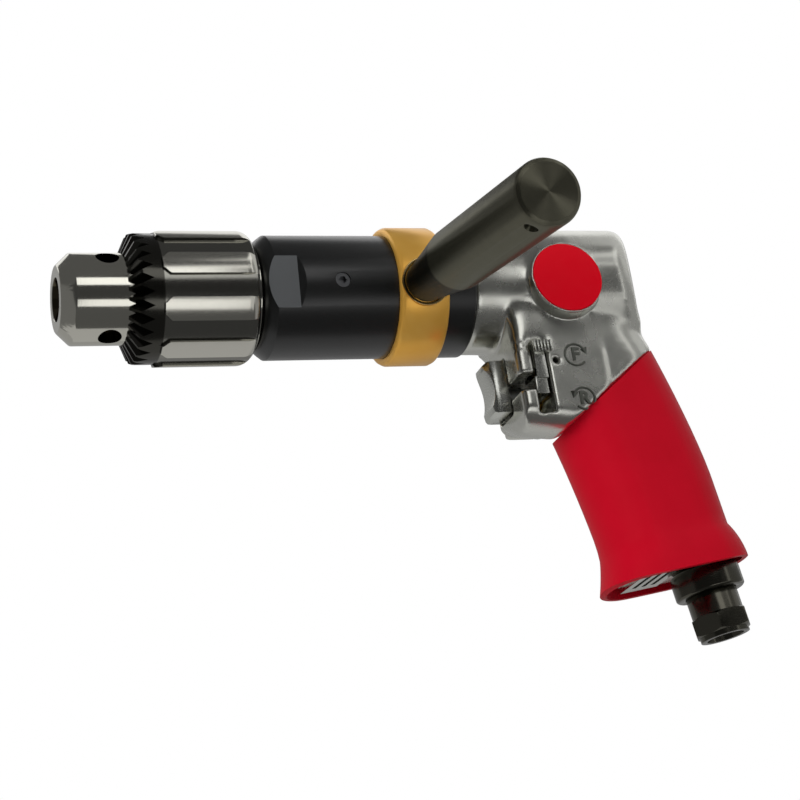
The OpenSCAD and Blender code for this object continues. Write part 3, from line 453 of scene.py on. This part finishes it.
# Turned bright steel: fine rings run round it, so highlights on it are streaks along the axis. The feed of
# 0.35 mm is a little coarser than the real one so that it shows.
turned_steel, tree, shader, place = surface("turned bright steel", "#d9d7cc", 1.0, Anisotropic=0.5,
                                            Anisotropic_Rotation=0.25)
round_way = add(tree, "ShaderNodeVectorMath", {0: place, 1: (1.0, 0.0, 0.0)}, operation="CROSS_PRODUCT")
tree.links.new(round_way.outputs["Vector"], shader.inputs["Tangent"])
split = add(tree, "ShaderNodeSeparateXYZ", {"Vector": place})
rings = add(tree, "ShaderNodeTexNoise", {"W": split.outputs["X"], "Scale": 1 / (0.35 * mm), "Detail": 2.0},
            noise_dimensions="1D")
gloss = add(tree, "ShaderNodeMapRange", {"Value": rings.outputs["Fac"], "From Min": 0.3, "From Max": 0.7,
                                         "To Min": 0.1, "To Max": 0.16})
tree.links.new(gloss.outputs["Result"], shader.inputs["Roughness"])
groove = add(tree, "ShaderNodeBump", {"Height": rings.outputs["Fac"], "Strength": 0.12,
                                      "Distance": 0.01 * mm})
tree.links.new(groove.outputs["Normal"], shader.inputs["Normal"])
# Painted shade darkens the walls of the holes and the bore: those of the holes lie inside the outer radius
# behind the chamfer, those of the bore round the axis
depth = add(tree, "ShaderNodeVectorMath", {0: place, 1: (0.0, 1.0, 1.0)}, operation="MULTIPLY")
depth = add(tree, "ShaderNodeVectorMath", {0: depth.outputs["Vector"]}, operation="LENGTH")
bored = add(tree, "ShaderNodeMapRange", {"Value": depth.outputs["Value"], "From Min": 13.8 * mm,
                                         "From Max": 13.95 * mm, "To Min": 1.0, "To Max": 0.0})
back = add(tree, "ShaderNodeMapRange", {"Value": split.outputs["X"], "From Min": 4.6 * mm,
                                        "From Max": 5 * mm})
holes = add(tree, "ShaderNodeMath", {0: bored.outputs["Result"], 1: back.outputs["Result"]},
            operation="MULTIPLY")
bore = add(tree, "ShaderNodeMapRange", {"Value": depth.outputs["Value"], "From Min": 6.7 * mm,
                                        "From Max": 6.8 * mm, "To Min": 1.0, "To Max": 0.0})
hole_painted_shade = add(tree, "ShaderNodeMath", {0: holes.outputs["Value"], 1: bore.outputs["Result"]},
             operation="MAXIMUM")
tint = add(tree, "ShaderNodeMix", {"Factor": hole_painted_shade.outputs["Value"], 6: tone("#d9d7cc"),
                                   7: tone("#5a5343")}, data_type="RGBA")
tree.links.new(tint.outputs[2], shader.inputs["Base Color"])


def on_nose_edge(edge):
    return all(abs(math.hypot(v.co.y, v.co.z) - nose_radius) < 0.05 * mm
               and abs(v.co.x - nose_chamfer) < 0.1 * mm or v.co.x < 0.1 * mm for v in edge.verts)


bm = merged("chuck_body")
ease(bm, 0.35 * mm, 25, on_nose_edge)
nose = build("chuck_nose", bm, "spindle", turned_steel)
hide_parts("chuck_body")
dress(dark_steel, "chuck_screw", "chuck_nut", "chuck_jaw_1", "chuck_jaw_2", "chuck_jaw_3")

# Chuck sleeve: a steel ring with bevel teeth for the key in front and milled flutes behind. Teeth and flutes
# are blackened, and the lands between the flutes are ground bright again.
lands, land_start = 9, 2.8 / 40

# Blackened and ground steel: near-black teeth, grey flutes and bright lands, all glossy
sleeve_steel, tree, shader, place = surface("blackened and ground steel", "#c2c2bf", 1.0)
cloud_gloss(tree, shader, place, 1.5 * mm, 0.14, 0.2, detail=4.0)
split = add(tree, "ShaderNodeSeparateXYZ", {"Vector": place})
square = add(tree, "ShaderNodeMath", {0: split.outputs["Y"], 1: split.outputs["Y"]}, operation="MULTIPLY")
square = add(tree, "ShaderNodeMath", {0: split.outputs["Z"], 1: split.outputs["Z"],
                                      2: square.outputs["Value"]}, operation="MULTIPLY_ADD")
radius = add(tree, "ShaderNodeMath", {0: square.outputs["Value"], 1: 0.5}, operation="POWER")
raised = add(tree, "ShaderNodeMapRange", {"Value": radius.outputs["Value"], "From Min": 20.55 * mm,
                                          "From Max": 20.75 * mm})
# Nine lands at a pitch of 40 degrees, half of it land and half flute, followed over the rounded rear edge too
down = add(tree, "ShaderNodeMath", {0: split.outputs["Y"], 1: -1.0}, operation="MULTIPLY")
turn = add(tree, "ShaderNodeMath", {0: down.outputs["Value"], 1: split.outputs["Z"]}, operation="ARCTAN2")
pitch = add(tree, "ShaderNodeMath", {0: turn.outputs["Value"], 1: lands / math.tau,
                                     2: 0.5 - land_start + lands}, operation="MULTIPLY_ADD")
share = add(tree, "ShaderNodeMath", {0: pitch.outputs["Value"]}, operation="FRACT")
off = add(tree, "ShaderNodeMath", {0: share.outputs["Value"], 1: 0.5}, operation="SUBTRACT")
off = add(tree, "ShaderNodeMath", {0: off.outputs["Value"]}, operation="ABSOLUTE")
land = add(tree, "ShaderNodeMapRange", {"Value": off.outputs["Value"], "From Min": 0.245, "From Max": 0.255,
                                        "To Min": 1.0, "To Max": 0.0})
behind = add(tree, "ShaderNodeMapRange", {"Value": split.outputs["X"], "From Min": 53 * mm,
                                          "From Max": 54 * mm})
ended = add(tree, "ShaderNodeMath", {0: land.outputs["Result"], 1: behind.outputs["Result"]},
            operation="MULTIPLY")
bright = add(tree, "ShaderNodeMath", {0: raised.outputs["Result"], 1: ended.outputs["Value"]},
             operation="MAXIMUM")
fluted = add(tree, "ShaderNodeMapRange", {"Value": split.outputs["X"], "From Min": 29.3 * mm,
                                          "From Max": 29.6 * mm})
dark = add(tree, "ShaderNodeMix", {"Factor": fluted.outputs["Result"], 6: tone("#4b4a45"),
                                   7: tone("#92918a")}, data_type="RGBA")
tint = add(tree, "ShaderNodeMix", {"Factor": bright.outputs["Value"], 6: dark.outputs[2],
                                   7: tone("#d6d4ca")}, data_type="RGBA")
tree.links.new(tint.outputs[2], shader.inputs["Base Color"])


def across_land(edge):
    near, far = [math.hypot(v.co.y, v.co.z) for v in edge.verts]
    return abs(near - far) > 0.6 * mm and all(29.2 * mm < v.co.x < 32 * mm for v in edge.verts)


bm = merged("chuck_sleeve")
bmesh.ops.dissolve_limit(bm, angle_limit=math.radians(0.4), verts=bm.verts, edges=bm.edges)
corners = [e for e in bm.edges if across_land(e) and e.calc_face_angle(0) > math.radians(20)]
bmesh.ops.bevel(bm, geom=corners, offset=0.9 * mm, offset_type="OFFSET", segments=3, profile=0.5,
                affect="EDGES", material=-1, clamp_overlap=True)
sleeve = build("chuck_key_sleeve", bm, "sleeve", sleeve_steel)
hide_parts("chuck_sleeve")

# Trigger: a die-cast finger piece with a hollowed front, which slides in a slot of the neck and presses the
# valve stem. Its back stops short of the rounded corners of the slot.
trigger_back, back_trim = 139.4 * mm, 0.45 * mm

# Satin die-cast aluminium: as bright as the casting but grainier, worn smooth by the finger
satin_aluminium, tree, shader, place = surface("satin die-cast aluminium", "#dadbd4", 1.0)
cloud_gloss(tree, shader, place, 0.6 * mm, 0.19, 0.32)

bm = merged("trigger")
for v in bm.verts:
    if v.co.x > trigger_back:
        v.co.x -= back_trim
ease(bm, 0.5 * mm, 40)
finger_piece = build("finger_piece", bm, "trigger", satin_aluminium, crease=40)
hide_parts("trigger")

# Reverse lever: a small cast arm with a ribbed thumb tab that turns the reverse valve, lying in a recess of
# the flank. The cross pin beside it keeps the valve in.
bm = merged("reverse_lever")
ease(bm, 0.2 * mm, 40)
arm = build("thumb_lever", bm, "reverse", satin_aluminium, crease=40)
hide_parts("reverse_lever")

# Blackened pin steel: matt black, so that the pin's end reads as a dark dot
pin_black, tree, shader, place = surface("blackened pin steel", "#141413", 0.0, Specular_IOR_Level=0.2)
cloud_gloss(tree, shader, place, 0.4 * mm, 0.4, 0.6)

dress(pin_black, "reverse_valve_pin")

# Turned brass: a warm yellow with a soft, uneven gloss
valve_brass, tree, shader, place = surface("turned brass", "#c9a24f", 1.0)
cloud_gloss(tree, shader, place, 1 * mm, 0.2, 0.38, detail=2.0)

dress(valve_brass, "reverse_valve", "throttle_valve", "valve_seat")
dress(machine_steel, "valve_stem")
bm = merged("valve_spring")
spring = build("closing_spring", bm, "housing", machine_steel, crease=60)
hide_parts("valve_spring")
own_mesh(spring)

# Grip sleeve: red rubber moulded as a tapered oval tube and drawn over the core of the casting. Its foot
# flares out and its upper edge is cut on a slant that follows the neck.
flare_height, hollow_height, bend_height = 11, 13, 28
grip_half, grip_wide, grip_middle = 22.2, 16.2, -10.3
heights = [0, 1, 2, 3.5, 5, 6.5, 8, 9.5, 11, 14, 18, 23, 28, 33, 38, 44, 50, 56, 62, 68, 74, 80, 86, 92, 98]
grip_place = Matrix.Translation((196.5 * mm, 0, -95.5 * mm)) @ Matrix.Rotation(math.radians(-8.2), 4, "Y")

# Moulded red rubber: a deep red with a fine pebble and a soft sheen, a little blotchy from handling
red_rubber, tree, shader, place = surface("moulded red rubber", "#bb001a", 0.0, Specular_IOR_Level=0.08)
grain = add(tree, "ShaderNodeTexNoise", {"Vector": place, "Scale": 1 / (0.35 * mm), "Detail": 3.0})
pebble = add(tree, "ShaderNodeBump", {"Height": grain.outputs["Fac"], "Strength": 0.25,
                                      "Distance": 0.03 * mm})
tree.links.new(pebble.outputs["Normal"], shader.inputs["Normal"])
blotches = cloud_gloss(tree, shader, place, 14 * mm, 0.36, 0.5)
tint = add(tree, "ShaderNodeMix", {"Factor": blotches, 6: tone("#b10018"), 7: tone("#bf0120")},
           data_type="RGBA")
tree.links.new(tint.outputs[2], shader.inputs["Base Color"])

# The tube is drawn up ring by ring, in millimetres above its foot
bm = bmesh.new()
ring = bmesh.ops.create_circle(bm, cap_ends=False, radius=1.0, segments=80)["verts"]
angles = [math.atan2(v.co.y, v.co.x) for v in ring]
edges = bm.edges[:]
for level, z in enumerate(heights):
    if level:
        lift = bmesh.ops.extrude_edge_only(bm, edges=edges)["geom"]
        ring = [g for g in lift if isinstance(g, bmesh.types.BMVert)]
        edges = [g for g in lift if isinstance(g, bmesh.types.BMEdge) and all(v in ring for v in g.verts)]
    spread = (1 - (z / flare_height) ** 2) if z < flare_height else 0
    hollow = (1 - z / hollow_height) ** 2 if z < hollow_height else 0
    half, wide = grip_half + 3 * spread, grip_wide + 1.5 * spread
    middle = grip_middle - 0.0196 * max(0, z - bend_height) ** 1.5
    # The front draws in over the foot before it flares, the back lies a little flatter
    waist = 1.1 * math.exp(-((z - 16) / 11) ** 2)
    for v, a in zip(ring, angles):
        side = (half - wide) * max(-1, min(1, math.cos(a) * 6))
        crown = 0.35 * (1 - (math.cos(a)) ** 2)
        front, rear = max(0.0, -math.cos(a)), max(0.0, math.cos(a))
        trim = front * (3 * (spread - hollow) + waist * (1 - hollow)) - rear * 0.5
        # The sides of the foot hang a little lower than its front and back, the left one most
        hang = (1.15 - 0.65 * math.sin(a)) * math.sin(a) ** 2 * hollow
        along_grip = middle + side + wide * math.cos(a) + trim
        v.co = Vector((along_grip, (wide + crown) * math.sin(a), z - hang)) * mm
bmesh.ops.recalc_face_normals(bm, faces=bm.faces)
bmesh.ops.transform(bm, matrix=grip_place, verts=bm.verts)
bmesh.ops.bisect_plane(bm, geom=bm.verts[:] + bm.edges[:] + bm.faces[:], plane_co=(slant_x, 0, slant_z),
                       plane_no=(-math.sin(slant), 0, math.cos(slant)), clear_outer=True)
rubber = build("rubber_grip", bm, "housing", red_rubber, crease=180)
wall = rubber.modifiers.new("wall", "SOLIDIFY")
wall.thickness = 2.0 * mm
wall.offset = -1
lip = rubber.modifiers.new("lip", "BEVEL")
lip.width = 0.7 * mm
lip.segments = 3
lip.limit_method = "ANGLE"
lip.angle_limit = math.radians(50)
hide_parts("grip_sleeve")

# Foot of the grip: an aluminium plate with exhaust slots over a felt muffler, and beside it the air inlet, a
# blackened steel bushing with a hexagon, a loose ring and a wire screen.
dress(satin_aluminium, "exhaust_plate")

# Grey wool felt: quite matt, with a coarse fuzz of fibres
felt, tree, shader, place = surface("grey wool felt", "#5a5a55", 0.0, Roughness=0.95)
fibres = add(tree, "ShaderNodeTexNoise", {"Vector": place, "Scale": 1 / (0.25 * mm), "Detail": 5.0})
fuzz = add(tree, "ShaderNodeBump", {"Height": fibres.outputs["Fac"], "Strength": 0.8, "Distance": 0.1 * mm})
tree.links.new(fuzz.outputs["Normal"], shader.inputs["Normal"])

dress(felt, "muffler_felt")

# Black oxide steel: dark and glossy under its oil
black_oxide, tree, shader, place = surface("black oxide steel", "#5c5a51", 1.0)
cloud_gloss(tree, shader, place, 2 * mm, 0.15, 0.24, detail=4.0)

bm = merged("inlet_ring")
ease(bm, 0.25 * mm)
ring_piece = build("inlet_collar", bm, "housing", black_oxide, crease=50)
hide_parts("inlet_ring")
bm = merged("inlet_bushing")
ease(bm, 0.2 * mm, 25)
bushing = build("inlet_fitting", bm, "housing", black_oxide, crease=25)
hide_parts("inlet_bushing")
dress(machine_steel, "inlet_screen")

# Studio: a pale floor under the drill that lets light and sight through from beneath, because the photograph
# looks up at the drill, a white surround, soft lamps and grey cards that give the metal its darker bands.
floor_level, floor_radius, floor_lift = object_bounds()[0].z - 0.2 * mm, 4.0, 0.3
surround_light, surround_seen = 0.62, 1.0
target = Vector((105 * mm, 0, -30 * mm))

bm = bmesh.new()
bmesh.ops.create_circle(bm, cap_ends=True, radius=floor_radius, segments=64,
                        matrix=Matrix.Translation((0.1, 0, floor_level)))
for face in bm.faces:
    if face.normal.z < 0:
        face.normal_flip()
mesh = bpy.data.meshes.new("studio_floor")
bm.to_mesh(mesh)
bm.free()
floor = bpy.data.objects.new("studio_floor", mesh)
bpy.context.scene.collection.objects.link(floor)
pale = bpy.data.materials.new("pale floor")
pale.use_nodes = True
tree = pale.node_tree
tree.nodes.clear()
matt = add(tree, "ShaderNodeBsdfDiffuse", {"Color": tone("#f3f3f1")})
clear = add(tree, "ShaderNodeBsdfTransparent", {})
under = add(tree, "ShaderNodeNewGeometry", {}).outputs["Backfacing"]
paths = add(tree, "ShaderNodeLightPath", {})
through = add(tree, "ShaderNodeMath", {0: under, 1: paths.outputs["Is Shadow Ray"]}, operation="MAXIMUM")
# Only the eye sees the floor lifted towards white, so its shadow stays and the drill gets no light from it
lift = add(tree, "ShaderNodeMath", {0: paths.outputs["Is Camera Ray"], 1: floor_lift}, operation="MULTIPLY")
white = add(tree, "ShaderNodeEmission", {"Color": (1.0, 1.0, 1.0, 1.0), "Strength": lift.outputs["Value"]})
lifted = add(tree, "ShaderNodeAddShader", {0: matt.outputs["BSDF"], 1: white.outputs["Emission"]})
both = add(tree, "ShaderNodeMixShader", {0: through.outputs["Value"], 1: lifted.outputs["Shader"],
                                         2: clear.outputs["BSDF"]})
add(tree, "ShaderNodeOutputMaterial", {"Surface": both.outputs["Shader"]})
mesh.materials.append(pale)
floor.visible_glossy = False

world = bpy.data.worlds.new("white surround")
bpy.context.scene.world = world
world.use_nodes = True
tree = world.node_tree
tree.nodes.clear()
rays = add(tree, "ShaderNodeLightPath", {})
seen = add(tree, "ShaderNodeMath", {0: rays.outputs["Is Camera Ray"], 1: rays.outputs["Is Glossy Ray"]},
           operation="MAXIMUM")
seen = add(tree, "ShaderNodeMath", {0: seen.outputs["Value"], 1: rays.outputs["Is Transmission Ray"]},
           operation="MAXIMUM")
strength = add(tree, "ShaderNodeMapRange", {"Value": seen.outputs["Value"], "To Min": surround_light,
                                            "To Max": surround_seen})
sky = add(tree, "ShaderNodeBackground", {"Color": (1.0, 1.0, 1.0, 1.0),
                                         "Strength": strength.outputs["Result"]})
add(tree, "ShaderNodeOutputWorld", {"Surface": sky.outputs["Background"]})


# Directions are given in degrees: round the drill from its left side towards the back, and up
def toward(azimuth, elevation):
    a, e = math.radians(azimuth), math.radians(elevation)
    return Vector((math.sin(a) * math.cos(e), -math.cos(a) * math.cos(e), math.sin(e)))


def facing_target(direction, distance):
    facing = Vector(direction).normalized()
    turned = facing.to_track_quat("Z", "Y").to_matrix().to_4x4()
    return Matrix.Translation(target + facing * distance) @ turned


# Cards show in reflections alone, so they shape the metal and light nothing
def card(name, direction, distance, width, height, grey):
    bm = bmesh.new()
    bmesh.ops.create_grid(bm, x_segments=1, y_segments=1, size=0.5,
                          matrix=facing_target(direction, distance) @ Matrix.Diagonal((width, height, 1, 1)))
    mesh = bpy.data.meshes.new(name)
    bm.to_mesh(mesh)
    bm.free()
    made = bpy.data.objects.new(name, mesh)
    bpy.context.scene.collection.objects.link(made)
    paint = bpy.data.materials.new(name)
    paint.use_nodes = True
    tree = paint.node_tree
    tree.nodes.clear()
    glow = add(tree, "ShaderNodeEmission", {"Color": (grey, grey, grey, 1.0), "Strength": 1.0})
    add(tree, "ShaderNodeOutputMaterial", {"Surface": glow.outputs["Emission"]})
    mesh.materials.append(paint)
    made.visible_camera = False
    made.visible_diffuse = False
    made.visible_shadow = False


card("dark_card_front", toward(-45, -2), 1.75, 3.6, 3.2, 0.05)
card("dark_card_middle", toward(5, -2), 1.55, 1.3, 3.0, 0.05)
card("grey_card_right", toward(32, -2), 1.6, 0.6, 3.0, 0.1)
card("dark_card_top", (-0.35, -0.25, 1), 1.3, 2.6, 3.0, 0.1)
card("pale_card_top", (1.1, 0.0, 1.0), 1.4, 0.8, 1.3, 0.55)
card("grey_card_far", toward(82, 0), 1.7, 2.2, 3.0, 0.3)
card("dark_card_below", (0, -0.45, -1), 1.2, 4.0, 1.7, 0.09)
card("pale_card_below", (0, 0.75, -1), 1.3, 4.0, 1.3, 0.45)
card("grey_card_left", toward(-100, 0), 1.7, 3.0, 3.0, 0.16)
card("grey_card_back", toward(180, 2), 1.6, 5.0, 2.2, 0.35)
card("strip_upper", toward(3, 22), 1.2, 0.5, 0.4, 1.4)
card("strip_upper_end", toward(28, 31), 1.2, 0.6, 0.1, 1.0)
card("strip_lower", toward(6, -32), 1.2, 0.56, 0.36, 1.2)
card("strip_lower_end", toward(33, -27), 1.2, 0.5, 0.4, 0.6)


def lamp(name, direction, distance, width, height, watts):
    light = bpy.data.lights.new(name, "AREA")
    light.shape = "RECTANGLE"
    light.size = width
    light.size_y = height
    light.energy = watts
    holder = bpy.data.objects.new(name, light)
    holder.matrix_world = facing_target(direction, distance)
    holder.visible_glossy = False
    bpy.context.scene.collection.objects.link(holder)


lamp("lamp_left", toward(-52, 8), 1.1, 0.9, 0.9, 7.5)
lamp("lamp_top", (0.1, -0.3, 1.0), 1.1, 1.2, 0.9, 1.0)

# Camera: a long lens below the drill on its left, where the photograph was taken from. Its place and turn
# were worked out from the circles of the chuck, the case and the collar.
camera_place = Vector((-97.66 * mm, -546.04 * mm, -252.69 * mm))
camera_right = Vector((0.94539, -0.29277, -0.14324))
camera_up = Vector((0.0234, -0.37739, 0.92576))
camera_back = Vector((-0.32509, -0.87856, -0.34993))
eye = bpy.data.cameras.new("camera")
eye.sensor_width = 36.0
eye.lens = 89.7
eye.clip_start = 0.05
eye.clip_end = 50.0
camera = bpy.data.objects.new("camera", eye)
camera_turn = Matrix((camera_right, camera_up, camera_back)).transposed().to_4x4()
camera.matrix_world = Matrix.Translation(camera_place) @ camera_turn
bpy.context.scene.collection.objects.link(camera)
bpy.context.scene.camera = camera
bpy.context.scene.view_settings.view_transform = "Standard"
